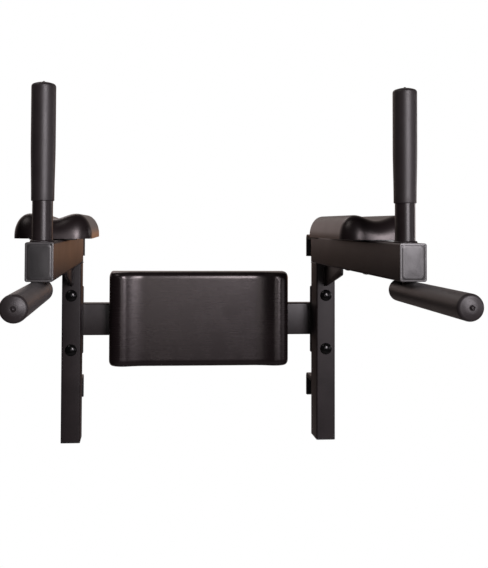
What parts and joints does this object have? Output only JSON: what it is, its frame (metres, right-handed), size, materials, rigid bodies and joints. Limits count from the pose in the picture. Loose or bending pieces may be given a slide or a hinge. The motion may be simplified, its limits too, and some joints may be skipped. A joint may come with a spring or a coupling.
{
  "type": "dip station",
  "caption": "Dip station that hooks onto wall rack rungs: padded arms with upright and forward-facing foam grips, joined by a crossbar with a back pad.",
  "frame": {"origin": "on the middle plane, at the height of the upper rung's top and in the plane of the columns' backs, which is the rungs' front plane", "axes": "-Z down, the way the hooks' seats face; +Y to the wall, so the user stands at -Y; +X to the right as the user's side is seen"},
  "size_m": [0.664, 0.844, 0.6635],
  "materials": {
    "powder_coat": "satin black powder coat on steel",
    "black_plastic": "finely grained black injection-moulded plastic",
    "grip_foam": "matt closed-cell black foam",
    "pad_skin": "satin black integral-skin foam",
    "liner_rubber": "matt black rubber sheet",
    "pad_board": "black-stained plywood",
    "black_fasteners": "glossy black coated steel"
  },
  "bodies": {
    "root": {"left_column": "powder_coat", "left_arm": "powder_coat", "left_gusset": "powder_coat", "left_upper_hook": "powder_coat", "left_lower_hook": "powder_coat", "left_handle_tube": "powder_coat", "left_dip_bar": "powder_coat", "left_dip_post": "powder_coat", "left_arm_pad_plate": "powder_coat", "left_end_plate": "powder_coat", "left_arm_front_cap": "black_plastic", "left_arm_rear_cap": "black_plastic", "left_column_foot_cap": "black_plastic", "left_dip_end_plug": "black_plastic", "left_handle_grip": "grip_foam", "left_dip_grip": "grip_foam", "left_arm_pad": "pad_skin", "left_upper_hook_liner": "liner_rubber", "left_lower_hook_liner": "liner_rubber", "left_pad_bolt_1": "black_fasteners", "left_pad_bolt_2": "black_fasteners", "left_upper_column_bolt": "black_fasteners", "left_upper_nut": "black_fasteners", "left_lower_column_bolt": "black_fasteners", "left_lower_nut": "black_fasteners", "right_column": "powder_coat", "right_arm": "powder_coat", "right_gusset": "powder_coat", "right_upper_hook": "powder_coat", "right_lower_hook": "powder_coat", "right_handle_tube": "powder_coat", "right_dip_bar": "powder_coat", "right_dip_post": "powder_coat", "right_arm_pad_plate": "powder_coat", "right_end_plate": "powder_coat", "right_arm_front_cap": "black_plastic", "right_arm_rear_cap": "black_plastic", "right_column_foot_cap": "black_plastic", "right_dip_end_plug": "black_plastic", "right_handle_grip": "grip_foam", "right_dip_grip": "grip_foam", "right_arm_pad": "pad_skin", "right_upper_hook_liner": "liner_rubber", "right_lower_hook_liner": "liner_rubber", "right_pad_bolt_1": "black_fasteners", "right_pad_bolt_2": "black_fasteners", "right_upper_column_bolt": "black_fasteners", "right_upper_nut": "black_fasteners", "right_lower_column_bolt": "black_fasteners", "right_lower_nut": "black_fasteners", "crossbar": "powder_coat", "crossbar_right_cap": "black_plastic", "crossbar_left_cap": "black_plastic", "back_pad": "pad_skin", "back_pad_board": "pad_board", "back_pad_left_bolt": "black_fasteners", "back_pad_right_bolt": "black_fasteners"}
  },
  "joints": []
}
